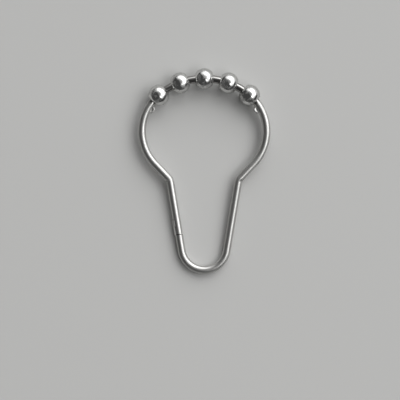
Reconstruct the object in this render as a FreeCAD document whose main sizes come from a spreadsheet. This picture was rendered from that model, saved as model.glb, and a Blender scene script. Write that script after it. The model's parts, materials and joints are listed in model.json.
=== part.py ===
"""Curtain hook: a ring of bent steel wire with five bored balls that roll along a curtain rod.

The ring lies on its side, as it comes to rest: X is its width, Y its length with the balls at +Y,
and Z its thickness. The end balls and the bottom of the U touch the surface below, so the ring
leans by a few degrees. The origin is the middle of the footprint. Lengths are millimetres.
"""
import FreeCAD, Part
import math
import os
import Sketcher

V = FreeCAD.Vector

# Names for a sketch's root point and axes, and for the points of its arcs and lines.
ROOT = -1
LEVEL = -1
UPRIGHT = -2
START = 1
END = 2
CENTRE = 3

# Driving dimensions. Angles are in degrees.
DIMENSIONS = {
    "wire_diameter": 2.6,
    "ball_diameter": 7.0,
    "ball_count": 5,
    "ball_pitch": 8.25,           # along the wire, from ball centre to ball centre
    "bore_clearance": 0.03,       # least room between the curved wire and the bore
    "bore_rim_radius": 0.2,
    "ball_arc_radius": 23.7,      # wire centreline, from the first ball to the last
    "side_arc_radius": 15.8,
    "shoulder_slope": 43.5,       # between the shoulder's straight run and the ring's length
    "shoulder_run": 6.3,
    "shoulder_bend_radius": 3.2,
    "leg_length": 23.3,
    "grommet_bend_radius": 7.65,
    "ear_gap": 0.6,               # room between an end ball and its stop ear
    "ear_radius": 1.4,
    "ear_reach": 2.35,            # from the wire's centreline to the ear's tip
    "ear_thickness": 0.7,         # at its rounded rim
    "ear_dish": 0.28,             # how deep each face of the ear's disc sinks at its middle
    "clasp_height": 8.3,          # along the leg, from the U bend to the middle of the clasp
    "lap_length": 5.2,
    "lap_tilt": 50.0,             # the lap's parting face, rising from the ring's plane outwards
    "lap_slit": 0.3,
    "hook_step": 0.25,
    "lap_swell": 0.35,            # how far the lower end's tongue is pressed out past the wire
    "lap_ramp": 0.8,              # along the leg, where the swell runs out
}

doc = FreeCAD.newDocument("curtain_hook")
sheet = doc.addObject("Spreadsheet::Sheet", "Sizes")
for row, (name, number) in enumerate(DIMENSIONS.items(), start=1):
    sheet.set(f"A{row}", name)
    sheet.set(f"B{row}", str(number))
    sheet.setAlias(f"B{row}", name)
doc.recompute()

wire_radius = sheet.wire_diameter / 2
ball_radius = sheet.ball_diameter / 2
tight_arc = min(sheet.ball_arc_radius, sheet.side_arc_radius)
wire_bow = tight_arc - math.sqrt(tight_arc ** 2 - ball_radius ** 2 + wire_radius ** 2)
bore_radius = wire_radius + wire_bow + sheet.bore_clearance
pitch_angle = math.degrees(sheet.ball_pitch / sheet.ball_arc_radius)
end_ball_angle = pitch_angle * (sheet.ball_count - 1) / 2


def toward(angle):
    """Unit vector in the ring's plane, at an angle in degrees clockwise from the ring's length."""
    return V(math.sin(math.radians(angle)), math.cos(math.radians(angle)), 0)


def centreline():
    """Centres and joints of the right half's arcs and lines, with the ball arc's centre at zero."""
    slope_out = toward(90 + sheet.shoulder_slope)
    side_centre = toward(end_ball_angle) * (sheet.ball_arc_radius - sheet.side_arc_radius)
    side_end = side_centre + slope_out * sheet.side_arc_radius
    run_end = side_end - toward(sheet.shoulder_slope) * sheet.shoulder_run
    bend_centre = run_end + slope_out * sheet.shoulder_bend_radius
    both_bends = sheet.shoulder_bend_radius + sheet.grommet_bend_radius
    drop = math.sqrt(sheet.leg_length ** 2 + both_bends ** 2 - bend_centre.x ** 2)
    lean_of_centres = math.degrees(math.atan2(bend_centre.x, drop))
    leg_angle = lean_of_centres - math.degrees(math.atan2(both_bends, sheet.leg_length))
    grommet_centre = V(0, bend_centre.y - drop, 0)
    leg_out = toward(90 + leg_angle)
    return {
        "ball_arc_end": toward(end_ball_angle) * sheet.ball_arc_radius,
        "side_centre": side_centre,
        "side_end": side_end,
        "run_end": run_end,
        "bend_centre": bend_centre,
        "leg_angle": leg_angle,
        "leg_top": bend_centre - leg_out * sheet.shoulder_bend_radius,
        "leg_end": grommet_centre + leg_out * sheet.grommet_bend_radius,
        "grommet_centre": grommet_centre,
        "bottom": grommet_centre - V(0, sheet.grommet_bend_radius, 0),
    }


line = centreline()


def rest_placement():
    """Lays the ring on its end balls and the bottom of its U, centred over the origin."""
    end_ball_y = sheet.ball_arc_radius * math.cos(math.radians(end_ball_angle))
    lean = math.asin((ball_radius - wire_radius) / (end_ball_y - line["bottom"].y))
    highest_y = sheet.ball_arc_radius * math.cos(lean) + ball_radius
    lowest_y = line["bottom"].y * math.cos(lean) - wire_radius
    lift = wire_radius - line["bottom"].y * math.sin(lean)
    turn = FreeCAD.Rotation(V(1, 0, 0), math.degrees(lean))
    return FreeCAD.Placement(V(0, -(highest_y + lowest_y) / 2, lift), turn)


rest = rest_placement()


def origin_plane(body, role):
    return next(item for item in body.Origin.OriginFeatures if item.Role == role)


def new_sketch(body, name, role, offset=None):
    """Sketch on one of the body's origin planes, moved along and turned over it by offset."""
    sketch = body.newObject("Sketcher::SketchObject", name)
    sketch.AttachmentSupport = (origin_plane(body, role), "")
    sketch.MapMode = "FlatFace"
    if offset:
        sketch.AttachmentOffset = offset
    return sketch


def bind(sketch, name, expression, *constraint):
    """Adds a dimension to the sketch and ties it to the sheet."""
    index = sketch.addConstraint(Sketcher.Constraint(*constraint))
    sketch.renameConstraint(index, name)
    sketch.setExpression(f"Constraints.{name}", expression)


def arc(centre, radius, start, end):
    """Arc between two angles in degrees, counterclockwise from the sketch's X axis."""
    circle = Part.Circle(centre, V(0, 0, 1), radius)
    return Part.ArcOfCircle(circle, math.radians(start), math.radians(end))


def ear_place():
    """Middle of the stop ear's disc, on the inner side of the side arc, turned to face it."""
    past_ball = ball_radius + sheet.ear_gap + sheet.ear_radius
    angle = end_ball_angle + math.degrees(past_ball / sheet.side_arc_radius)
    from_arc_centre = sheet.side_arc_radius - sheet.ear_reach + sheet.ear_radius
    point = line["side_centre"] + toward(angle) * from_arc_centre
    return FreeCAD.Placement(V(point.x, 0, -point.y), FreeCAD.Rotation(V(0, 1, 0), -angle))


def clasp_place():
    """Middle of the clasp: X up the left leg, Y square to the lap's parting face."""
    leg_angle = line["leg_angle"]
    left_leg_end = V(-line["leg_end"].x, line["leg_end"].y, 0)
    middle = left_leg_end + toward(-leg_angle) * sheet.clasp_height
    up_leg = FreeCAD.Rotation(V(0, 0, 1), 90 + leg_angle)
    over = FreeCAD.Rotation(V(1, 0, 0), 90 + sheet.lap_tilt)
    return FreeCAD.Placement(middle, up_leg * over)


def add_half_wire(body):
    """Right half of the bent wire, swept from the top of the ball arc to the bottom of the U."""
    path = new_sketch(body, "Centreline", "XY_Plane")
    slope = sheet.shoulder_slope
    leg = line["leg_angle"]
    ball_arc, side_arc, run, bend, straight_leg, grommet_bend = path.addGeometry([
        arc(V(0, 0, 0), sheet.ball_arc_radius, 90 - end_ball_angle, 90),
        arc(line["side_centre"], sheet.side_arc_radius, -slope, 90 - end_ball_angle),
        Part.LineSegment(line["run_end"], line["side_end"]),
        arc(line["bend_centre"], sheet.shoulder_bend_radius, 180 - slope, 180 - leg),
        Part.LineSegment(line["leg_top"], line["leg_end"]),
        arc(line["grommet_centre"], sheet.grommet_bend_radius, -90, -leg),
    ])
    path.addConstraint([
        Sketcher.Constraint("Coincident", ball_arc, CENTRE, ROOT, START),
        Sketcher.Constraint("PointOnObject", ball_arc, END, UPRIGHT),
        Sketcher.Constraint("Tangent", ball_arc, START, side_arc, END),
        Sketcher.Constraint("Tangent", side_arc, START, run, END),
        Sketcher.Constraint("Tangent", run, START, bend, START),
        Sketcher.Constraint("Tangent", bend, END, straight_leg, START),
        Sketcher.Constraint("Tangent", straight_leg, END, grommet_bend, END),
        Sketcher.Constraint("PointOnObject", grommet_bend, CENTRE, UPRIGHT),
        Sketcher.Constraint("PointOnObject", grommet_bend, START, UPRIGHT),
    ])
    bind(path, "BallArc", "Sizes.ball_arc_radius", "Radius", ball_arc, sheet.ball_arc_radius)
    half_row = "Sizes.ball_pitch * (Sizes.ball_count - 1) / 2"
    bind(path, "BallArcEnd",
         f"Sizes.ball_arc_radius * sin({half_row} / Sizes.ball_arc_radius * 180 / pi)",
         "DistanceX", ROOT, START, ball_arc, START, line["ball_arc_end"].x)
    bind(path, "SideArc", "Sizes.side_arc_radius", "Radius", side_arc, sheet.side_arc_radius)
    bind(path, "Slope", "90 deg - Sizes.shoulder_slope * 1 deg",
         "Angle", run, math.radians(90 - slope))
    bind(path, "Run", "Sizes.shoulder_run", "Distance", run, sheet.shoulder_run)
    bind(path, "Bend", "Sizes.shoulder_bend_radius", "Radius", bend, sheet.shoulder_bend_radius)
    bind(path, "Leg", "Sizes.leg_length", "Distance", straight_leg, sheet.leg_length)
    bind(path, "GrommetBend", "Sizes.grommet_bend_radius",
         "Radius", grommet_bend, sheet.grommet_bend_radius)

    section = new_sketch(body, "WireSection", "YZ_Plane")
    circle = section.addGeometry(Part.Circle(V(sheet.ball_arc_radius, 0, 0), V(0, 0, 1), wire_radius))
    section.addConstraint(Sketcher.Constraint("PointOnObject", circle, CENTRE, LEVEL))
    bind(section, "ArcTop", "Sizes.ball_arc_radius",
         "DistanceX", ROOT, START, circle, CENTRE, sheet.ball_arc_radius)
    bind(section, "Wire", "Sizes.wire_diameter / 2", "Radius", circle, wire_radius)

    wire = body.newObject("PartDesign::AdditivePipe", "HalfWire")
    wire.Profile = section
    wire.Spine = (path, [f"Edge{number}" for number in range(1, path.GeometryCount + 1)])
    return wire


def add_stop_ear(body):
    """Half-moon ear coined out of the wire's inner side past the end ball.

    It is a disc half sunk in the wire, with dished faces and a rounded rim.
    """
    half_thickness = sheet.ear_thickness / 2
    half_web = half_thickness - sheet.ear_dish
    rim_centre = sheet.ear_radius - half_thickness
    profile = new_sketch(body, "EarProfile", "XZ_Plane", ear_place())
    axis, under, over, rim = profile.addGeometry([
        Part.LineSegment(V(0, -half_web, 0), V(0, half_web, 0)),
        Part.LineSegment(V(0, -half_web, 0), V(rim_centre, -half_thickness, 0)),
        Part.LineSegment(V(0, half_web, 0), V(rim_centre, half_thickness, 0)),
        arc(V(rim_centre, 0, 0), half_thickness, -90, 90),
    ])
    profile.addConstraint([
        Sketcher.Constraint("Coincident", axis, START, under, START),
        Sketcher.Constraint("Coincident", axis, END, over, START),
        Sketcher.Constraint("PointOnObject", axis, START, UPRIGHT),
        Sketcher.Constraint("Symmetric", axis, START, axis, END, ROOT, START),
        Sketcher.Constraint("Coincident", under, END, rim, START),
        Sketcher.Constraint("Coincident", over, END, rim, END),
        Sketcher.Constraint("PointOnObject", rim, CENTRE, LEVEL),
        Sketcher.Constraint("Vertical", rim, START, rim, CENTRE),
        Sketcher.Constraint("Vertical", rim, END, rim, CENTRE),
    ])
    bind(profile, "Web", "Sizes.ear_thickness - 2 * Sizes.ear_dish",
         "DistanceY", axis, START, axis, END, 2 * half_web)
    bind(profile, "Rim", "Sizes.ear_thickness / 2", "Radius", rim, half_thickness)
    bind(profile, "RimCentre", "Sizes.ear_radius - Sizes.ear_thickness / 2",
         "DistanceX", ROOT, START, rim, CENTRE, rim_centre)

    ear = body.newObject("PartDesign::Revolution", "StopEar")
    ear.Profile = profile
    ear.ReferenceAxis = (profile, ["V_Axis"])
    ear.Angle = 360
    return ear


def add_swelled_tongue(body):
    """Swell of the lower end's tongue: a stretch of round bar, set off the wire's centre to its side.

    A cone runs the swell out. It starts sunk in the wire and comes out of it halfway along.
    """
    tip = sheet.lap_length / 2
    root = -tip - 2 * sheet.lap_ramp
    sunk_radius = wire_radius - 2 * sheet.lap_swell
    set_off = FreeCAD.Placement(V(0, -sheet.lap_swell, 0), FreeCAD.Rotation())
    profile = new_sketch(body, "TongueProfile", "XY_Plane", clasp_place().multiply(set_off))
    axis, blunt_end, outside, cone, sunk_end = profile.addGeometry([
        Part.LineSegment(V(root, 0, 0), V(tip, 0, 0)),
        Part.LineSegment(V(tip, 0, 0), V(tip, wire_radius, 0)),
        Part.LineSegment(V(tip, wire_radius, 0), V(-tip, wire_radius, 0)),
        Part.LineSegment(V(-tip, wire_radius, 0), V(root, sunk_radius, 0)),
        Part.LineSegment(V(root, sunk_radius, 0), V(root, 0, 0)),
    ])
    profile.addConstraint([
        Sketcher.Constraint("Coincident", axis, END, blunt_end, START),
        Sketcher.Constraint("Coincident", blunt_end, END, outside, START),
        Sketcher.Constraint("Coincident", outside, END, cone, START),
        Sketcher.Constraint("Coincident", cone, END, sunk_end, START),
        Sketcher.Constraint("Coincident", sunk_end, END, axis, START),
        Sketcher.Constraint("PointOnObject", axis, START, LEVEL),
        Sketcher.Constraint("Horizontal", axis),
        Sketcher.Constraint("Vertical", blunt_end),
        Sketcher.Constraint("Horizontal", outside),
        Sketcher.Constraint("Vertical", sunk_end),
    ])
    bind(profile, "Tip", "Sizes.lap_length / 2", "DistanceX", ROOT, START, axis, END, tip)
    bind(profile, "Foot", "-Sizes.lap_length / 2", "DistanceX", ROOT, START, cone, START, -tip)
    bind(profile, "Root", "-Sizes.lap_length / 2 - 2 * Sizes.lap_ramp",
         "DistanceX", ROOT, START, axis, START, root)
    bind(profile, "Bar", "Sizes.wire_diameter / 2", "Distance", blunt_end, wire_radius)
    bind(profile, "Sunk", "Sizes.wire_diameter / 2 - 2 * Sizes.lap_swell",
         "Distance", sunk_end, sunk_radius)

    tongue = body.newObject("PartDesign::Revolution", "SwelledTongue")
    tongue.Profile = profile
    tongue.ReferenceAxis = (profile, ["H_Axis"])
    tongue.Angle = 360


def level(lap=0, step=0, slit=0, wire=0):
    """Distance from the clasp's middle, as a number and as a formula: half laps, steps and slits."""
    halves = lap * sheet.lap_length + step * sheet.hook_step + slit * sheet.lap_slit
    number = halves / 2 + wire * sheet.wire_diameter
    formula = f"({lap} * Sizes.lap_length + {step} * Sizes.hook_step + {slit} * Sizes.lap_slit) / 2"
    return number, f"{formula} + {wire} * Sizes.wire_diameter"


def add_clasp(body):
    """Z-shaped slit that parts the wire into two half-laps, hooked behind each other by a step."""
    side = [
        (level(lap=-1, slit=1), level(wire=1)),
        (level(lap=-1, slit=1), level(step=-1, slit=1)),
        (level(slit=-1), level(step=-1, slit=1)),
        (level(slit=-1), level(step=1, slit=1)),
        (level(lap=1, slit=1), level(step=1, slit=1)),
        (level(lap=1, slit=1), level(wire=-1)),
    ]
    # The slit's other side is the same line turned half round about the clasp's middle.
    turned = [tuple((-number, f"-({formula})") for number, formula in corner) for corner in side]
    corners = side + turned
    points = [V(along[0], across[0], 0) for along, across in corners]
    slit = new_sketch(body, "LapSlit", "XY_Plane", clasp_place())
    for index, (along, across) in enumerate(corners):
        following = (index + 1) % len(corners)
        slit.addGeometry(Part.LineSegment(points[index], points[following]))
    for index, (along, across) in enumerate(corners):
        following = (index + 1) % len(corners)
        slit.addConstraint(Sketcher.Constraint("Coincident", index, END, following, START))
        if index % 2 == 0:
            slit.addConstraint(Sketcher.Constraint("Vertical", index))
            bind(slit, f"Along{index}", along[1], "DistanceX", ROOT, START, index, START, along[0])
        else:
            slit.addConstraint(Sketcher.Constraint("Horizontal", index))
            bind(slit, f"Across{index}", across[1], "DistanceY", ROOT, START, index, START, across[0])

    clasp = body.newObject("PartDesign::Pocket", "Clasp")
    clasp.Profile = slit
    clasp.Midplane = True
    clasp.setExpression("Length", "2 * Sizes.wire_diameter")


def make_ring_wire():
    """One length of wire, with its stop ears and the clasp where its two ends meet."""
    body = doc.addObject("PartDesign::Body", "ring_wire")
    wire = add_half_wire(body)
    ear = add_stop_ear(body)
    other_half = body.newObject("PartDesign::Mirrored", "OtherHalf")
    other_half.Originals = [wire, ear]
    other_half.MirrorPlane = (origin_plane(body, "YZ_Plane"), [""])
    body.Tip = other_half
    doc.recompute()
    add_swelled_tongue(body)
    add_clasp(body)
    body.Placement = rest
    return body


def make_ball(number):
    """Bored ball, turned about its bore, which lies along the wire where the ball sits."""
    body = doc.addObject("PartDesign::Body", f"roller_ball_{number}")
    rim_radius = sheet.bore_rim_radius
    rim_height = bore_radius + rim_radius
    rim_middle = math.sqrt((ball_radius - rim_radius) ** 2 - rim_height ** 2)
    rim_angle = math.degrees(math.atan2(rim_height, rim_middle))
    section = new_sketch(body, "BallSection", "XZ_Plane")
    bore, right_rim, outside, left_rim = section.addGeometry([
        Part.LineSegment(V(-rim_middle, bore_radius, 0), V(rim_middle, bore_radius, 0)),
        arc(V(rim_middle, rim_height, 0), rim_radius, -90, rim_angle),
        arc(V(0, 0, 0), ball_radius, rim_angle, 180 - rim_angle),
        arc(V(-rim_middle, rim_height, 0), rim_radius, 180 - rim_angle, 270),
    ])
    section.addConstraint([
        Sketcher.Constraint("Horizontal", bore),
        Sketcher.Constraint("Tangent", bore, END, right_rim, START),
        Sketcher.Constraint("Tangent", right_rim, END, outside, START),
        Sketcher.Constraint("Tangent", outside, END, left_rim, START),
        Sketcher.Constraint("Tangent", left_rim, END, bore, START),
        Sketcher.Constraint("Coincident", outside, CENTRE, ROOT, START),
        Sketcher.Constraint("Equal", right_rim, left_rim),
    ])
    tight = "min(Sizes.ball_arc_radius; Sizes.side_arc_radius)"
    chord = "(Sizes.ball_diameter / 2) ^ 2 - (Sizes.wire_diameter / 2) ^ 2"
    bow = f"{tight} - sqrt({tight} ^ 2 - ({chord}))"
    bind(section, "Bore", f"Sizes.wire_diameter / 2 + {bow} + Sizes.bore_clearance",
         "DistanceY", ROOT, START, bore, START, bore_radius)
    bind(section, "Ball", "Sizes.ball_diameter / 2", "Radius", outside, ball_radius)
    bind(section, "Rim", "Sizes.bore_rim_radius", "Radius", right_rim, rim_radius)

    ball = body.newObject("PartDesign::Revolution", "BoredBall")
    ball.Profile = section
    ball.ReferenceAxis = (section, ["H_Axis"])
    ball.Angle = 360
    angle = pitch_angle * (number - 1) - end_ball_angle
    seat = FreeCAD.Placement(toward(angle) * sheet.ball_arc_radius, FreeCAD.Rotation(V(0, 0, 1), -angle))
    body.Placement = rest.multiply(seat)
    return body


def check_and_export(bodies):
    """Stops on anything that failed to build, then writes one file for each piece."""
    doc.recompute()
    failed = [item.Name for item in doc.Objects if {"Invalid", "Error"} & set(item.State)]
    loose = [item.Name for item in doc.Objects
             if item.TypeId == "Sketcher::SketchObject" and not item.FullyConstrained]
    broken = [body.Label for body in bodies if body.Shape.isNull() or not body.Shape.isValid()]
    if failed or loose or broken:
        raise RuntimeError(f"failed: {failed}, loose sketches: {loose}, bad shapes: {broken}")
    os.makedirs("parts", exist_ok=True)
    for body in bodies:
        body.Shape.exportStep(os.path.join("parts", f"{body.Label}.step"))
        box = body.Shape.BoundBox
        print(f"{body.Label}: {body.Shape.Volume:.1f} mm3, {len(body.Shape.Solids)} solid, "
              f"z {box.ZMin:.2f} to {box.ZMax:.2f}")


pieces = [make_ring_wire()]
for ball_number in range(1, int(sheet.ball_count) + 1):
    pieces.append(make_ball(ball_number))
check_and_export(pieces)
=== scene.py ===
import json
import math
import bmesh
import bpy
from mathutils import Matrix, Vector


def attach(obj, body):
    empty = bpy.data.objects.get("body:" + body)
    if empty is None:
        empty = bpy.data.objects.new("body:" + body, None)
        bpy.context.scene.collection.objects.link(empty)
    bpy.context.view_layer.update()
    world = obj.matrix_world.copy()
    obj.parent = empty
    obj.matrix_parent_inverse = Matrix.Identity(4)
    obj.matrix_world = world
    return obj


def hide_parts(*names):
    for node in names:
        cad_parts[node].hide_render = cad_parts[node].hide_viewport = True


mm = 0.001
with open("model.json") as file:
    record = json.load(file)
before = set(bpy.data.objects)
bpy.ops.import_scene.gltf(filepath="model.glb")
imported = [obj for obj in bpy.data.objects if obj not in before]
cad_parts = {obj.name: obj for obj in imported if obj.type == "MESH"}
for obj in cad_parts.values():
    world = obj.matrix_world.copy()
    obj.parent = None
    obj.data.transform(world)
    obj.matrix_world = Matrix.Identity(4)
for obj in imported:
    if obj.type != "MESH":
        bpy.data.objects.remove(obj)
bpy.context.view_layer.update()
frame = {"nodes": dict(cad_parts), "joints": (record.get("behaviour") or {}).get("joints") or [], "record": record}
joints = {joint["name"]: joint for joint in frame["joints"]}
print("frame loaded:", ", ".join(sorted(frame["nodes"])))


# Small helpers for shader nodes

def addNode(tree, kind, inputs=None, **settings):
    made = tree.nodes.new(kind)
    for name, value in settings.items():
        setattr(made, name, value)
    for name, value in (inputs or {}).items():
        if isinstance(value, bpy.types.NodeSocket):
            tree.links.new(value, made.inputs[name])
        else:
            made.inputs[name].default_value = value
    return made


def startGroup(name, inputs, outputs):
    tree = bpy.data.node_groups.new(name, "ShaderNodeTree")
    for title, (kind, value) in inputs.items():
        socket = tree.interface.new_socket(name=title, in_out="INPUT", socket_type=kind)
        if value is not None:
            socket.default_value = value
    for title in outputs:
        tree.interface.new_socket(name=title, in_out="OUTPUT", socket_type="NodeSocketFloat")
    return tree, tree.nodes.new("NodeGroupInput").outputs, tree.nodes.new("NodeGroupOutput").inputs


def useGroup(tree, group, **inputs):
    made = tree.nodes.new("ShaderNodeGroup")
    made.node_tree = group
    for name, value in inputs.items():
        if isinstance(value, bpy.types.NodeSocket):
            tree.links.new(value, made.inputs[name])
        else:
            made.inputs[name].default_value = value
    return made.outputs


# Effects that both metals use

hairlineSet = {
    "turns": ((0.3, 0.5, 0.9), (1.9, 0.2, 2.3), (2.6, 1.4, 0.4)),   # radians, one set of lines each
    "stretch": (0.12, 9.0, 0.12),
    "wander": 0.35,
    "halfWidth": 0.012,
    "patchScale": 0.7,      # the lines come and go in patches
    "patchEdge": 0.12,
}


def makeHairlines():
    tree, given, out = startGroup("hairlines", {
        "Vector": ("NodeSocketVector", None),
        "Scale": ("NodeSocketFloat", 1.0),
        "Cover": ("NodeSocketFloat", 0.5),
    }, ["Mask"])
    sized = addNode(tree, "ShaderNodeVectorMath", {
        0: given["Vector"], "Scale": given["Scale"]}, operation="SCALE")
    total = None
    for turn in hairlineSet["turns"]:
        laid = addNode(tree, "ShaderNodeMapping", {
            "Vector": sized.outputs[0], "Rotation": turn, "Location": turn, "Scale": hairlineSet["stretch"]})
        lines = addNode(tree, "ShaderNodeTexNoise", {
            "Vector": laid.outputs[0], "Scale": 1.0, "Detail": 1.0, "Distortion": hairlineSet["wander"]})
        off = addNode(tree, "ShaderNodeMath", {0: lines.outputs[0], 1: 0.5}, operation="SUBTRACT")
        away = addNode(tree, "ShaderNodeMath", {0: off.outputs[0]}, operation="ABSOLUTE")
        line = addNode(tree, "ShaderNodeMapRange", {
            "Value": away.outputs[0], "From Min": 0.0, "From Max": hairlineSet["halfWidth"],
            "To Min": 1.0, "To Max": 0.0})
        patches = addNode(tree, "ShaderNodeTexNoise", {
            "Vector": laid.outputs[0], "Scale": hairlineSet["patchScale"], "Detail": 2.0})
        lack = addNode(tree, "ShaderNodeMath", {0: 1.0, 1: given["Cover"]}, operation="SUBTRACT")
        full = addNode(tree, "ShaderNodeMath", {
            0: lack.outputs[0], 1: hairlineSet["patchEdge"]}, operation="ADD")
        kept = addNode(tree, "ShaderNodeMapRange", {
            "Value": patches.outputs[0], "From Min": lack.outputs[0], "From Max": full.outputs[0]})
        layer = addNode(tree, "ShaderNodeMath", {0: line.outputs[0], 1: kept.outputs[0]}, operation="MULTIPLY")
        if total is None:
            total = layer
        else:
            total = addNode(tree, "ShaderNodeMath", {
                0: total.outputs[0], 1: layer.outputs[0]}, operation="MAXIMUM")
    tree.links.new(total.outputs[0], out["Mask"])
    return tree


def makeHandling():
    tree, given, out = startGroup("handlingHaze", {
        "Vector": ("NodeSocketVector", None),
        "Scale": ("NodeSocketFloat", 1.0),
        "Low": ("NodeSocketFloat", 0.45),
        "High": ("NodeSocketFloat", 0.7),
    }, ["Mask"])
    cloud = addNode(tree, "ShaderNodeTexNoise", {
        "Vector": given["Vector"], "Scale": given["Scale"], "Detail": 5.0, "Roughness": 0.6, "Distortion": 0.6})
    mask = addNode(tree, "ShaderNodeMapRange", {
        "Value": cloud.outputs[0], "From Min": given["Low"], "From Max": given["High"]},
        interpolation_type="SMOOTHSTEP")
    tree.links.new(mask.outputs[0], out["Mask"])
    return tree


hairlines = makeHairlines()
handling = makeHandling()


def startMetal(name):
    material = bpy.data.materials.new(name)
    material.use_nodes = True
    tree = material.node_tree
    shader = tree.nodes["Principled BSDF"]
    shader.inputs["Metallic"].default_value = 1.0
    placed = addNode(tree, "ShaderNodeTexCoord").outputs["Object"]
    made = addNode(tree, "ShaderNodeAttribute", attribute_name="asMade").outputs["Vector"]
    return material, tree, shader, placed, made


def blendColour(tree, mask, low, high):
    mixed = addNode(tree, "ShaderNodeMix", {"Factor": mask}, data_type="RGBA")
    for socket, value in ((6, low), (7, high)):
        if isinstance(value, bpy.types.NodeSocket):
            tree.links.new(value, mixed.inputs[socket])
        else:
            mixed.inputs[socket].default_value = (*value, 1.0)
    return mixed.outputs[2]


def calc(tree, operation, a, b):
    return addNode(tree, "ShaderNodeMath", {0: a, 1: b}, operation=operation).outputs[0]


def span(tree, value, low, high, toLow=0.0, toHigh=1.0):
    return addNode(tree, "ShaderNodeMapRange", {
        "Value": value, "From Min": low, "From Max": high, "To Min": toLow, "To Max": toHigh}).outputs[0]


def softStep(tree, value, low, high, toLow=0.0, toHigh=1.0):
    stepped = span(tree, value, low, high, toLow, toHigh)
    stepped.node.interpolation_type = "SMOOTHSTEP"
    return stepped


def smudges(tree, place, values):
    low, high = values["smudgeEdge"]
    return useGroup(tree, handling, Vector=place, Scale=values["smudgeScale"], Low=low, High=high)["Mask"]


def scratches(tree, place, values):
    cover = values["scratchCover"]
    return useGroup(tree, hairlines, Vector=place, Scale=values["scratchScale"], Cover=cover)["Mask"]


# Drawn stainless wire: asMade holds each point's place on the wire before it was bent, in mm

wireSteelSet = {
    "bright": (0.66, 0.655, 0.64),
    "dull": (0.50, 0.50, 0.485),
    "edgeTint": (0.82, 0.82, 0.81, 1.0),      # steel reflects less than all at a glancing angle
    "roughness": 0.31,
    "streakRoughness": 0.09,
    "streaks": ((0.05, 1.0, 1.0), 5.0),       # stretch along and across the wire, then scale
    "fineStreaks": ((0.02, 1.0, 1.0), 16.0),
    "fineShare": 0.4,                         # of the fine streaks in the drawn pattern
    "smudgeScale": 190.0,                     # per metre
    "smudgeEdge": (0.42, 0.72),
    "smudgeShade": 0.35,
    "smudgeHaze": 0.06,                       # added to the roughness
    "scratchScale": 0.8,                      # per mm
    "scratchCover": 0.45,
    "stretchHaze": 0.12,
    "shearHaze": 0.3,
    "shearedAndShaded": (0.07, 0.068, 0.065),          # the cut faces inside the clasp's slit, painted near-black as the shade inside the slit
    "rubbedAndShaded": (0.34, 0.335, 0.325),           # painted shade on the wire under and between the balls; the balls also polish it smoother there
    "rubbedRoughness": 0.09,
    "peelScale": 2500.0,                      # orange peel where a bend stretches the wire, per metre
    "reliefHeight": 0.004 * mm,
}


def makeWireSteel():
    values = wireSteelSet
    material, tree, shader, placed, made = startMetal("drawnStainlessWire")
    shader.inputs["Specular Tint"].default_value = values["edgeTint"]
    streakHeights = []
    for stretch, scale in (values["streaks"], values["fineStreaks"]):
        laid = addNode(tree, "ShaderNodeMapping", {"Vector": made, "Scale": stretch})
        streak = addNode(tree, "ShaderNodeTexNoise", {
            "Vector": laid.outputs[0], "Scale": scale, "Detail": 3.0, "Roughness": 0.55})
        streakHeights.append(streak.outputs[0])
    drawn = calc(tree, "MULTIPLY_ADD", streakHeights[0], 1 - values["fineShare"])
    tree.links.new(calc(tree, "MULTIPLY", streakHeights[1], values["fineShare"]), drawn.node.inputs[2])
    smudge = smudges(tree, placed, values)
    scratch = scratches(tree, made, values)
    stretched = addNode(tree, "ShaderNodeAttribute", attribute_name="stretched").outputs["Fac"]
    peel = addNode(tree, "ShaderNodeTexNoise", {"Vector": placed, "Scale": values["peelScale"], "Detail": 2.0})
    peeled = calc(tree, "MULTIPLY", peel.outputs[0], stretched)

    tone = span(tree, drawn, 0.35, 0.65)
    toned = blendColour(tree, tone, values["dull"], values["bright"])
    smudged = blendColour(tree, calc(tree, "MULTIPLY", smudge, values["smudgeShade"]), toned, values["dull"])
    shearedAndShaded = addNode(tree, "ShaderNodeAttribute", attribute_name="shearedAndShaded").outputs["Fac"]
    rubbedAndShaded = addNode(tree, "ShaderNodeAttribute", attribute_name="rubbedAndShaded").outputs["Fac"]
    # painted shade: the wire along the ball row is coloured darker where the balls shade it
    shadedUnderBalls = blendColour(tree, rubbedAndShaded, smudged, values["rubbedAndShaded"])
    # painted shade: the faces inside the clasp's slit are coloured near-black
    tree.links.new(blendColour(tree, shearedAndShaded, shadedUnderBalls, values["shearedAndShaded"]), shader.inputs["Base Color"])
    rough = calc(tree, "MULTIPLY_ADD", tone, -values["streakRoughness"])
    rough.node.inputs[2].default_value = values["roughness"] + values["streakRoughness"]
    hazed = calc(tree, "MULTIPLY_ADD", smudge, values["smudgeHaze"])
    tree.links.new(rough, hazed.node.inputs[2])
    pulled = calc(tree, "MULTIPLY_ADD", stretched, values["stretchHaze"])
    tree.links.new(hazed, pulled.node.inputs[2])
    worn = calc(tree, "MULTIPLY_ADD", shearedAndShaded, values["shearHaze"])
    tree.links.new(span(tree, rubbedAndShaded, 0.0, 1.0, pulled, values["rubbedRoughness"]), worn.node.inputs[2])
    tree.links.new(worn, shader.inputs["Roughness"])
    relief = calc(tree, "MULTIPLY_ADD", scratch, -0.5)
    tree.links.new(calc(tree, "ADD", drawn, calc(tree, "MULTIPLY", peeled, 2.0)), relief.node.inputs[2])
    bump = addNode(tree, "ShaderNodeBump", {"Height": relief, "Distance": values["reliefHeight"]})
    tree.links.new(bump.outputs[0], shader.inputs["Normal"])
    return material


# Polished balls: asMade holds each point's place on the lathe, with the bore along X, in mm

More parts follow.
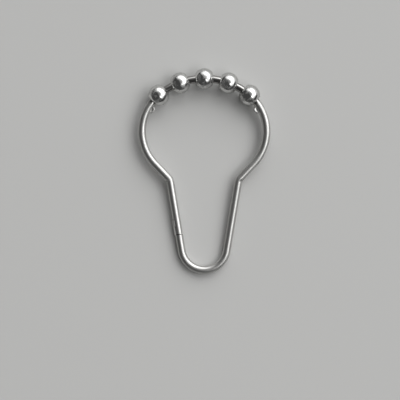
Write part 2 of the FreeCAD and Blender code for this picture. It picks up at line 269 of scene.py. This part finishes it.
ballSteelSet = {
    "bright": (0.66, 0.66, 0.65),
    "dull": (0.40, 0.40, 0.39),
    "edgeTint": (0.82, 0.82, 0.81, 1.0),
    "roughness": 0.06,
    "hazeRoughness": 0.24,
    "filmMetallic": 0.70,       # where a thin film of dirt scatters some light
    "scratchRoughness": 0.22,
    "smudgeScale": 520.0,       # per metre
    "smudgeEdge": (0.49, 0.60),
    "smudgeShade": 0.7,
    "scratchScale": 700.0,      # per metre
    "scratchCover": 0.5,
    "markShade": 0.5,
    "rollingBand": (0.9, 1.5),  # mm along the bore from the middle, where the scuffed band fades
    "scuffScale": 7.0,          # per mm
    "turnedRings": (2.2, 2.9),  # mm along the bore, where the lathe's rings come in
    "ringScale": 26.0,
    "ringHaze": 0.2,
    "wavesScale": 330.0,        # per metre
    "wavesHeight": 0.08 * mm,
    "reliefHeight": 0.003 * mm,
}


def makeBallSteel():
    values = ballSteelSet
    material, tree, shader, placed, made = startMetal("polishedBallSteel")
    shader.inputs["Specular Tint"].default_value = values["edgeTint"]
    axes = addNode(tree, "ShaderNodeSeparateXYZ", {"Vector": made})
    fromMiddle = addNode(tree, "ShaderNodeMath", {0: axes.outputs["X"]}, operation="ABSOLUTE").outputs[0]
    band = span(tree, fromMiddle, *values["rollingBand"], 1.0, 0.0)
    turned = span(tree, fromMiddle, *values["turnedRings"])

    smudge = smudges(tree, placed, values)
    scratch = scratches(tree, placed, values)
    along = addNode(tree, "ShaderNodeCombineXYZ", {"X": axes.outputs["X"]})
    scuffs = addNode(tree, "ShaderNodeTexNoise", {
        "Vector": along.outputs[0], "Scale": values["scuffScale"], "Detail": 4.0})
    worn = calc(tree, "MULTIPLY", band, smudge)
    scuffed = calc(tree, "MULTIPLY", span(tree, scuffs.outputs[0], 0.5, 0.62), worn)
    rings = addNode(tree, "ShaderNodeTexNoise", {
        "Vector": along.outputs[0], "Scale": values["ringScale"], "Detail": 2.0})
    ringed = calc(tree, "MULTIPLY", rings.outputs[0], turned)

    tree.links.new(span(tree, smudge, 0.0, 1.0, 1.0, values["filmMetallic"]), shader.inputs["Metallic"])
    marks = calc(tree, "MAXIMUM", scratch, scuffed)
    smudged = calc(tree, "MULTIPLY", smudge, values["smudgeShade"])
    toned = blendColour(tree, smudged, values["bright"], values["dull"])
    marked = blendColour(tree, calc(tree, "MULTIPLY", marks, values["markShade"]), toned, values["dull"])
    tree.links.new(marked, shader.inputs["Base Color"])
    hazed = calc(tree, "MULTIPLY_ADD", smudge, values["hazeRoughness"])
    hazed.node.inputs[2].default_value = values["roughness"]
    ringRough = calc(tree, "MULTIPLY_ADD", ringed, values["ringHaze"])
    tree.links.new(hazed, ringRough.node.inputs[2])
    rough = calc(tree, "MULTIPLY_ADD", marks, values["scratchRoughness"])
    tree.links.new(ringRough, rough.node.inputs[2])
    tree.links.new(rough, shader.inputs["Roughness"])

    waves = addNode(tree, "ShaderNodeTexNoise", {
        "Vector": placed, "Scale": values["wavesScale"], "Detail": 1.0})
    wavy = addNode(tree, "ShaderNodeBump", {"Height": waves.outputs[0], "Distance": values["wavesHeight"]})
    relief = calc(tree, "SUBTRACT", calc(tree, "MULTIPLY", ringed, 1.5), marks)
    bump = addNode(tree, "ShaderNodeBump", {
        "Height": relief, "Distance": values["reliefHeight"], "Normal": wavy.outputs[0]})
    tree.links.new(bump.outputs[0], shader.inputs["Normal"])
    return material


wireSteel = makeWireSteel()
ballSteel = makeBallSteel()
print("materials made")


# The ring of bent wire. It is made in mm in the ring's own plane, with the ball arc's centre at zero

ringSet = {
    "wireDiameter": 2.6,
    "sides": 64,
    "stepLength": 0.45,
    "bendStep": 0.05,        # longest step in a tight bend, as a share of its radius
    "rubbedAndShadedLength": 20.5,    # each way from the top, where the balls rub the wire and where their shade is painted on it
    "fullStretch": 0.4,      # stretch of the wire's outer side in a bend that peels it in full
    "ballArcRadius": 23.7,
    "ballPitch": 8.25,
    "ballCount": 5,
    "sideArcRadius": 15.8,
    "shoulderSlope": 43.5,
    "shoulderRun": 6.3,
    "shoulderBendRadius": 3.2,
    "legLength": 23.3,
    "grommetBendRadius": 7.65,
}
wireRadius = ringSet["wireDiameter"] / 2
endBallAngle = math.degrees(ringSet["ballPitch"] / ringSet["ballArcRadius"]) * (ringSet["ballCount"] - 1) / 2


def toward(angle):   # degrees clockwise from the ring's length
    return Vector((math.sin(math.radians(angle)), math.cos(math.radians(angle)), 0))


def findLegs():   # angle of the legs and the centre of the U, from the bends that the legs join
    values = ringSet
    sideCentre = toward(endBallAngle) * (values["ballArcRadius"] - values["sideArcRadius"])
    slopeOut = toward(90 + values["shoulderSlope"])
    run = toward(values["shoulderSlope"]) * values["shoulderRun"]
    runEnd = sideCentre + slopeOut * values["sideArcRadius"] - run
    bendCentre = runEnd + slopeOut * values["shoulderBendRadius"]
    bothBends = values["shoulderBendRadius"] + values["grommetBendRadius"]
    drop = math.sqrt(values["legLength"] ** 2 + bothBends ** 2 - bendCentre.x ** 2)
    legAngle = math.degrees(math.atan2(bendCentre.x, drop) - math.atan2(bothBends, values["legLength"]))
    return sideCentre, legAngle, Vector((0, bendCentre.y - drop, 0))


sideCentre, legAngle, grommetCentre = findLegs()


def planRoute():   # runs and bends in turn, clockwise from the top: (length or radius, degrees turned)
    values = ringSet
    half = [
        (values["ballArcRadius"], endBallAngle),
        (values["sideArcRadius"], 90 + values["shoulderSlope"] - endBallAngle),
        (values["shoulderRun"], 0),
        (values["shoulderBendRadius"], legAngle - values["shoulderSlope"]),
        (values["legLength"], 0),
        (values["grommetBendRadius"], 90 - legAngle),
    ]
    return half + half[::-1]


def restPlace():   # lays the ring's plane as the frame has it, and turns mm into metres
    normal = Vector(frame["record"]["mounts"][0]["axis"]).normalized()
    right = Vector((1, 0, 0))
    up = normal.cross(right)
    centre = Vector(joints["ball_3_roll"]["pos_m"]) - up * ringSet["ballArcRadius"] * mm
    turn = Matrix((right, up, normal)).transposed().to_4x4()
    return Matrix.Translation(centre) @ turn @ Matrix.Scale(mm, 4)


def sweepWire():
    bm = bmesh.new()
    along, around, stretch = (bm.verts.layers.float.new(name) for name in ("along", "around", "stretch"))
    upright = Matrix.Translation((0, ringSet["ballArcRadius"], 0)) @ Matrix.Rotation(math.radians(90), 4, "Y")
    bmesh.ops.create_circle(bm, segments=ringSet["sides"], radius=wireRadius, matrix=upright)
    for vert in bm.verts:
        vert[around] = math.atan2(vert.co.z, vert.co.y - ringSet["ballArcRadius"])
    end = list(bm.verts) + list(bm.edges)
    point = Vector((0, ringSet["ballArcRadius"], 0))
    heading = Vector((1, 0, 0))
    length = 0.0
    for size, turn in planRoute():
        if turn:
            side = Vector((heading.y, -heading.x, 0)) * math.copysign(size, turn)
            centre = point + side
            longest = min(ringSet["stepLength"], size * ringSet["bendStep"])
            steps = max(2, round(math.radians(abs(turn)) * size / longest))
            bend = math.radians(turn) / steps
            for step in range(steps):
                turned = bmesh.ops.spin(bm, geom=end, cent=centre, axis=(0, 0, 1), angle=-bend, steps=1)
                end = turned["geom_last"]
                length += abs(bend) * size
                for vert in end:
                    if isinstance(vert, bmesh.types.BMVert):
                        vert[along] = length
                        outward = math.cos(vert[around]) * math.copysign(wireRadius, turn)
                        vert[stretch] = max(0.0, outward / size)
            swing = Matrix.Rotation(-math.radians(turn), 3, "Z")
            point = centre + swing @ (point - centre)
            heading = swing @ heading
        else:
            rim = [item for item in end if isinstance(item, bmesh.types.BMEdge)]
            made = bmesh.ops.extrude_edge_only(bm, edges=rim)["geom"]
            verts = [item for item in made if isinstance(item, bmesh.types.BMVert)]
            bmesh.ops.translate(bm, vec=heading * size, verts=verts)
            length += size
            for vert in verts:
                vert[along] = length
            edges = [item for item in made if isinstance(item, bmesh.types.BMEdge)]
            end = verts + [edge for edge in edges if set(edge.verts) <= set(verts)]
            point = point + heading * size
    keepAsMade(bm, along, around, stretch, length)
    bmesh.ops.recalc_face_normals(bm, faces=bm.faces)
    pressMarks(bm, along, around, length)
    bmesh.ops.remove_doubles(bm, verts=bm.verts, dist=0.002)
    print(f"wire swept: {length:.1f} mm long, {len(bm.faces)} faces")
    return bm


markSet = {           # left by the bending tool's corner, on each shoulder's hollow side
    "around": 50.0,   # degrees up from the ring's outer side
    "spread": 28.0,
    "length": 0.75,
    "depth": 0.18,
}


def pressMarks(bm, along, around, length):
    values = ringSet
    toBend = math.radians(endBallAngle) * values["ballArcRadius"] + values["shoulderRun"]
    toBend += math.radians(90 + values["shoulderSlope"] - endBallAngle) * values["sideArcRadius"]
    toBend += math.radians(values["shoulderSlope"] - legAngle) * values["shoulderBendRadius"] / 2
    bm.normal_update()
    for vert in bm.verts:
        away = min(abs(vert[along] - toBend), abs(length - vert[along] - toBend)) / markSet["length"]
        off = abs(math.degrees(vert[around]) - markSet["around"]) / markSet["spread"]
        if away < 1 and off < 1:
            share = (1 - away ** 2) * (1 - off ** 2)
            vert.co -= vert.normal * markSet["depth"] * share


def keepAsMade(bm, along, around, stretch, length):   # per face corner, so that a cut keeps it
    asMade = bm.loops.layers.float_vector.new("asMade")
    stretched = bm.loops.layers.float.new("stretched")
    bm.loops.layers.float.new("shearedAndShaded")
    rubbedAndShaded = bm.loops.layers.float.new("rubbedAndShaded")
    for face in bm.faces:
        for corner in face.loops:
            vert = corner.vert
            fromTop = min(vert[along], length - vert[along])
            # 1 along the ball row, where the balls rub the wire and their shade is painted on it
            corner[rubbedAndShaded] = min(1.0, max(0.0, ringSet["rubbedAndShadedLength"] - fromTop))
            across = Vector((math.cos(vert[around]), math.sin(vert[around]))) * wireRadius
            corner[asMade] = (vert[along], *across)
            corner[stretched] = min(1.0, vert[stretch] / ringSet["fullStretch"])


def keepPlaces(bm, cut=0.0):   # gives a cutting or joining tool the same attributes as the wire
    asMade = bm.loops.layers.float_vector.new("asMade")
    bm.loops.layers.float.new("stretched")
    bm.loops.layers.float.new("rubbedAndShaded")
    shearedAndShaded = bm.loops.layers.float.new("shearedAndShaded")
    for face in bm.faces:
        for corner in face.loops:
            corner[asMade] = corner.vert.co
            # the slit tool passes 1 here, which paints its faces near-black as the shade inside the slit
            corner[shearedAndShaded] = cut


def lastVerts(spun):
    return [item for item in spun["geom_last"] if isinstance(item, bmesh.types.BMVert)]


def toObject(bm, name):
    mesh = bpy.data.meshes.new(name)
    bm.to_mesh(mesh)
    bm.free()
    thing = bpy.data.objects.new(name, mesh)
    bpy.context.scene.collection.objects.link(thing)
    return thing


def combine(base, tool, operation):   # applies a boolean and removes the tool
    modifier = base.modifiers.new("combine", "BOOLEAN")
    modifier.operation = operation
    modifier.solver = "EXACT"
    modifier.use_self = True
    modifier.object = tool
    bpy.context.view_layer.update()
    solid = bpy.data.meshes.new_from_object(base.evaluated_get(bpy.context.evaluated_depsgraph_get()))
    base.modifiers.clear()
    base.data = solid
    bpy.data.objects.remove(tool)


# Stop ears, coined out of the wire's inner side past each end ball

earSet = {
    "ballDiameter": 7.0,
    "gap": 0.6,
    "radius": 1.4,
    "reach": 2.35,
    "thickness": 0.7,   # at the rounded rim
    "dish": 0.28,       # how deep each face sinks at the disc's middle
    "rimSteps": 14,
    "sides": 72,
}


def earDisc(side):   # side is 1 on the right and -1 on the left
    values = earSet
    bm = bmesh.new()
    half = values["thickness"] / 2
    rimCentre = values["radius"] - half
    seed = bmesh.ops.create_vert(bm, co=(0, 0, values["dish"] - half))["vert"]
    face = bmesh.ops.extrude_vert_indiv(bm, verts=seed)["verts"]
    bmesh.ops.translate(bm, vec=(rimCentre, 0, -values["dish"]), verts=face)
    rim = bmesh.ops.spin(bm, geom=face, cent=(rimCentre, 0, 0), axis=(0, -1, 0), angle=math.pi,
                         steps=values["rimSteps"])
    top = bmesh.ops.extrude_vert_indiv(bm, verts=lastVerts(rim))["verts"]
    bmesh.ops.translate(bm, vec=(-rimCentre, 0, -values["dish"]), verts=top)
    bmesh.ops.spin(bm, geom=bm.verts[:] + bm.edges[:], cent=(0, 0, 0), axis=(0, 0, 1), angle=math.tau,
                   steps=values["sides"], use_merge=True)
    bmesh.ops.remove_doubles(bm, verts=bm.verts, dist=0.0005)
    bmesh.ops.recalc_face_normals(bm, faces=bm.faces)
    pastBall = values["ballDiameter"] / 2 + values["gap"] + values["radius"]
    angle = endBallAngle + math.degrees(pastBall / ringSet["sideArcRadius"])
    middle = sideCentre + toward(angle) * (ringSet["sideArcRadius"] - values["reach"] + values["radius"])
    bmesh.ops.translate(bm, vec=(side * middle.x, middle.y, 0), verts=bm.verts)
    keepPlaces(bm)
    return toObject(bm, "earTool")


# The clasp: a Z-shaped slit between two half-laps, in the left leg

claspSet = {
    "height": 8.3,      # from the U bend to the clasp's middle
    "lap": 5.2,
    "tilt": 50.0,
    "slit": 0.3,
    "step": 0.25,
    "swell": 0.35,      # how far the lower end's tongue is pressed out past the wire
    "ramp": 0.8,        # along the leg, where the swell runs out
    "chamfer": 0.26,    # flat on the tongue's long upper edge
    "overrun": 0.04,    # of its cut into the empty slit, so that no corner lies on the slit's face
}


def claspPlace():   # X up the leg, Y square to the lap's parting face
    legEnd = grommetCentre - toward(90 - legAngle) * ringSet["grommetBendRadius"]
    middle = legEnd + toward(-legAngle) * claspSet["height"]
    upLeg = Matrix.Rotation(math.radians(90 + legAngle), 4, "Z")
    over = Matrix.Rotation(math.radians(90 + claspSet["tilt"]), 4, "X")
    return Matrix.Translation(middle) @ upLeg @ over


def tongueTool():   # a stretch of bar set off the wire's centre, with a cone that comes out of the wire
    values = claspSet
    tip = values["lap"] / 2
    root = -tip - 2 * values["ramp"]
    bm = bmesh.new()
    end = bmesh.ops.create_vert(bm, co=(tip, 0, 0))["vert"]
    for corner in ((tip, wireRadius), (-tip, wireRadius), (root, wireRadius - 2 * values["swell"]), (root, 0)):
        end = bmesh.ops.extrude_vert_indiv(bm, verts=end)["verts"]
        end[0].co = (*corner, 0)
    bmesh.ops.spin(bm, geom=bm.verts[:] + bm.edges[:], cent=(0, 0, 0), axis=(1, 0, 0), angle=math.tau,
                   steps=ringSet["sides"], use_merge=True)
    bmesh.ops.remove_doubles(bm, verts=bm.verts, dist=0.0005)
    bmesh.ops.recalc_face_normals(bm, faces=bm.faces)
    keepPlaces(bm)
    place = claspPlace() @ Matrix.Translation((0, -values["swell"], 0))
    bmesh.ops.transform(bm, matrix=place, verts=bm.verts)
    return toObject(bm, "tongueTool")


def addBlock(bm, low, high, depth):
    centre = Vector(((low[0] + high[0]) / 2, (low[1] + high[1]) / 2, 0))
    size = Matrix.Diagonal((high[0] - low[0], high[1] - low[1], depth, 1))
    bmesh.ops.create_cube(bm, size=1, matrix=Matrix.Translation(centre) @ size)


def slitTool():
    values = claspSet
    end, half, level, out = values["lap"] / 2, values["slit"] / 2, values["step"] / 2, ringSet["wireDiameter"]
    bm = bmesh.new()
    addBlock(bm, (-end - half, -level - half), (-end + half, out), out * 2)
    addBlock(bm, (-end - half, -level - half), (half, -level + half), out * 2.01)
    addBlock(bm, (-half, -level - half), (half, level + half), out * 2.02)
    addBlock(bm, (-half, level - half), (end + half, level + half), out * 2.03)
    addBlock(bm, (end - half, -out), (end + half, level + half), out * 2.04)
    # these faces become the slit's walls, painted near-black as shade
    keepPlaces(bm, cut=1.0)
    bmesh.ops.transform(bm, matrix=claspPlace(), verts=bm.verts)
    return toObject(bm, "slitTool")


def chamferTool():
    values = claspSet
    width = values["chamfer"]
    bm = bmesh.new()
    for side in (1, -1):   # above and below the hook's step
        y = (side * values["step"] - values["slit"]) / 2
        z = -math.sqrt(wireRadius ** 2 - (y + values["swell"]) ** 2)
        edge = Matrix.Translation((side * values["lap"] / 4, y, z))
        turn = Matrix.Rotation(math.radians(-45), 4, "X")
        size = Matrix.Diagonal((values["lap"] / 2, 1, width + values["overrun"], 1))
        block = Matrix.Translation((0, (1 - width) / 2, values["overrun"] / 2)) @ size
        bmesh.ops.create_cube(bm, size=1, matrix=edge @ turn @ block)
    keepPlaces(bm)
    bmesh.ops.transform(bm, matrix=claspPlace(), verts=bm.verts)
    return toObject(bm, "chamferTool")


def makeRing():
    piece = toObject(sweepWire(), "bent_wire_ring")
    for side in (1, -1):
        combine(piece, earDisc(side), "UNION")
    combine(piece, tongueTool(), "UNION")
    combine(piece, slitTool(), "DIFFERENCE")
    combine(piece, chamferTool(), "DIFFERENCE")
    bm = bmesh.new()
    bm.from_mesh(piece.data)
    bmesh.ops.remove_doubles(bm, verts=bm.verts, dist=0.0005)
    bmesh.ops.transform(bm, matrix=restPlace(), verts=bm.verts)
    bm.to_mesh(piece.data)
    bm.free()
    finishPiece(piece, wireSteel)
    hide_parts("ring_wire")
    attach(piece, "ring")


def finishPiece(piece, material):
    mesh = piece.data
    mesh.materials.clear()
    mesh.materials.append(material)
    mesh.shade_smooth()
    mesh.set_sharp_from_angle(angle=math.radians(20))


# Bored balls, turned about the bore

ballSet = {
    "diameter": 7.0,
    "boreRadius": 1.668,
    "rimRadius": 0.2,
    "rimSteps": 8,
    "outsideSteps": 60,
    "boreSteps": 6,
    "turnSteps": 112,
}


def ballPlace(number):
    joint = joints[f"ball_{number}_roll"]
    normal = Vector(frame["record"]["mounts"][0]["axis"]).normalized()
    bore = Vector(joint["axis"]).normalized()
    turn = Matrix((bore, normal.cross(bore), normal)).transposed().to_4x4()
    return Matrix.Translation(joint["pos_m"]) @ turn @ Matrix.Scale(mm, 4)


def turnBall():
    values = ballSet
    radius = values["diameter"] / 2
    rimHeight = values["boreRadius"] + values["rimRadius"]
    rimMiddle = math.sqrt((radius - values["rimRadius"]) ** 2 - rimHeight ** 2)
    rimAngle = math.atan2(rimHeight, rimMiddle)
    bm = bmesh.new()
    first = bmesh.ops.create_vert(bm, co=(rimMiddle, values["boreRadius"], 0))["vert"]
    end = lastVerts(bmesh.ops.spin(bm, geom=first, cent=(rimMiddle, rimHeight, 0), axis=(0, 0, 1),
                                   angle=math.pi / 2 + rimAngle, steps=values["rimSteps"]))
    end = lastVerts(bmesh.ops.spin(bm, geom=end, cent=(0, 0, 0), axis=(0, 0, 1),
                                   angle=math.pi - 2 * rimAngle, steps=values["outsideSteps"]))
    end = lastVerts(bmesh.ops.spin(bm, geom=end, cent=(-rimMiddle, rimHeight, 0), axis=(0, 0, 1),
                                   angle=math.pi / 2 + rimAngle, steps=values["rimSteps"]))
    bore = bmesh.ops.contextual_create(bm, geom=first + end)["edges"]
    bmesh.ops.subdivide_edges(bm, edges=bore, cuts=values["boreSteps"] - 1)
    bmesh.ops.spin(bm, geom=bm.verts[:] + bm.edges[:], cent=(0, 0, 0), axis=(1, 0, 0), angle=math.tau,
                   steps=values["turnSteps"], use_merge=True)
    bmesh.ops.remove_doubles(bm, verts=bm.verts, dist=0.0005)
    bmesh.ops.recalc_face_normals(bm, faces=bm.faces)
    asMade = bm.loops.layers.float_vector.new("asMade")
    for face in bm.faces:
        for corner in face.loops:
            corner[asMade] = corner.vert.co
    return bm


def makeBall(number):
    bm = turnBall()
    bmesh.ops.transform(bm, matrix=ballPlace(number), verts=bm.verts)
    piece = toObject(bm, f"bored_ball_{number}")
    finishPiece(piece, ballSteel)
    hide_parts(f"roller_ball_{number}")
    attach(piece, f"ball_{number}")


makeRing()
for ballNumber in range(1, ringSet["ballCount"] + 1):
    makeBall(ballNumber)
print("ring and balls made")


# Studio: pale floor, soft light from the upper right, camera straight above

floorSet = {"size": 12.0, "colour": (0.57, 0.57, 0.56, 1.0)}
skySet = {
    "colour": (1.0, 1.0, 1.0, 1.0),
    "ambient": 0.07,
    "facing": 34.0,               # degrees counterclockwise from the right, the middle of the bow light
    "bowReach": (-0.20, 0.40),    # cosine from that middle, where the bow light fades in
    "bowUp": (-0.054, 0.201, 0.978),   # the bow goes round this, at a slant to the floor
    "bowLow": (0.22, 0.56),       # cosine from that, where it fades in
    "bowHigh": (0.75, 0.97),      # and where it fades
    "bowTop": 0.14,               # share of it that is left at the top
    "bow": 1.30,
    "glowToward": (0.55, 0.78, 0.30),
    "glowEdge": (0.50, 0.95),
    "glow": 0.9,
}
lampSet = {
    "window": {"at": (1.43, 0.20, 1.38), "size": (0.7, 0.9), "power": 4.5},
    "key": {"at": (0.90, 1.39, 1.12), "size": (1.3, 1.3), "power": 9.0},
    "strip": {"at": (0.80, -0.67, 1.71), "size": (0.4, 0.6), "power": 1.8},
}
cameraSet = {
    "lens": 100.0,
    "sensor": 36.0,
    "photoSize": 400,
    "pixelsPerMm": 2.98,
    "topBallPixel": (204.25, 79.1),
    "scaleHeight": 2.5,      # mm above the floor, where that scale holds
}


def makeFloor():
    bm = bmesh.new()
    bmesh.ops.create_grid(bm, x_segments=1, y_segments=1, size=floorSet["size"] / 2)
    floor = toObject(bm, "floor")
    material = bpy.data.materials.new("paleFloor")
    material.use_nodes = True
    shader = material.node_tree.nodes["Principled BSDF"]
    shader.inputs["Base Color"].default_value = floorSet["colour"]
    shader.inputs["Roughness"].default_value = 0.9
    floor.data.materials.append(material)


def makeSky():   # a soft bow light round the upper right and a glow low down behind it
    world = bpy.data.worlds.new("softStudio")
    bpy.context.scene.world = world
    world.use_nodes = True
    tree = world.node_tree
    shader = tree.nodes["Background"]
    shader.inputs["Color"].default_value = skySet["colour"]
    direction = addNode(tree, "ShaderNodeTexCoord").outputs["Generated"]
    above = addNode(tree, "ShaderNodeVectorMath", {0: direction, 1: skySet["bowUp"]}, operation="DOT_PRODUCT")
    height = above.outputs["Value"]
    flat = addNode(tree, "ShaderNodeVectorMath", {0: direction, 1: (1, 1, 0)}, operation="MULTIPLY").outputs[0]
    level = addNode(tree, "ShaderNodeVectorMath", {0: flat}, operation="NORMALIZE").outputs[0]
    facing = math.radians(skySet["facing"])
    turned = addNode(tree, "ShaderNodeVectorMath", {
        0: level, 1: (math.cos(facing), math.sin(facing), 0)}, operation="DOT_PRODUCT").outputs["Value"]
    low = softStep(tree, height, *skySet["bowLow"])
    high = softStep(tree, height, *skySet["bowHigh"], 1.0, skySet["bowTop"])
    reach = softStep(tree, turned, *skySet["bowReach"], 0.0, skySet["bow"])
    bow = calc(tree, "MULTIPLY", calc(tree, "MULTIPLY", low, high), reach)

    glowing = Vector(skySet["glowToward"]).normalized()
    near = addNode(tree, "ShaderNodeVectorMath", {0: direction, 1: glowing}, operation="DOT_PRODUCT")
    ambient = skySet["ambient"]
    glow = softStep(tree, near.outputs["Value"], *skySet["glowEdge"], ambient, ambient + skySet["glow"])
    tree.links.new(calc(tree, "ADD", bow, glow), shader.inputs["Strength"])


def makeLamps():
    for name, values in lampSet.items():
        light = bpy.data.lights.new(name, "AREA")
        light.shape = "RECTANGLE"
        light.size, light.size_y = values["size"]
        light.energy = values["power"]
        lamp = bpy.data.objects.new(name, light)
        lamp.location = values["at"]
        lamp.rotation_euler = (-Vector(values["at"])).to_track_quat("-Z", "Y").to_euler()
        bpy.context.scene.collection.objects.link(lamp)


def makeCamera():
    values = cameraSet
    top = Vector(joints["ball_3_roll"]["pos_m"])
    middle = values["photoSize"] / 2
    pixel = mm / values["pixelsPerMm"]
    x = top.x - (values["topBallPixel"][0] - middle) * pixel
    y = top.y + (values["topBallPixel"][1] - middle) * pixel
    away = values["lens"] / values["sensor"] * values["photoSize"] * pixel
    data = bpy.data.cameras.new("above")
    data.lens = values["lens"]
    data.sensor_width = values["sensor"]
    data.clip_start = 0.01
    camera = bpy.data.objects.new("above", data)
    camera.location = (x, y, away + values["scaleHeight"] * mm)
    bpy.context.scene.collection.objects.link(camera)
    bpy.context.scene.camera = camera


makeFloor()
makeSky()
makeLamps()
makeCamera()
bpy.context.scene.view_settings.view_transform = "Standard"
print("studio made")
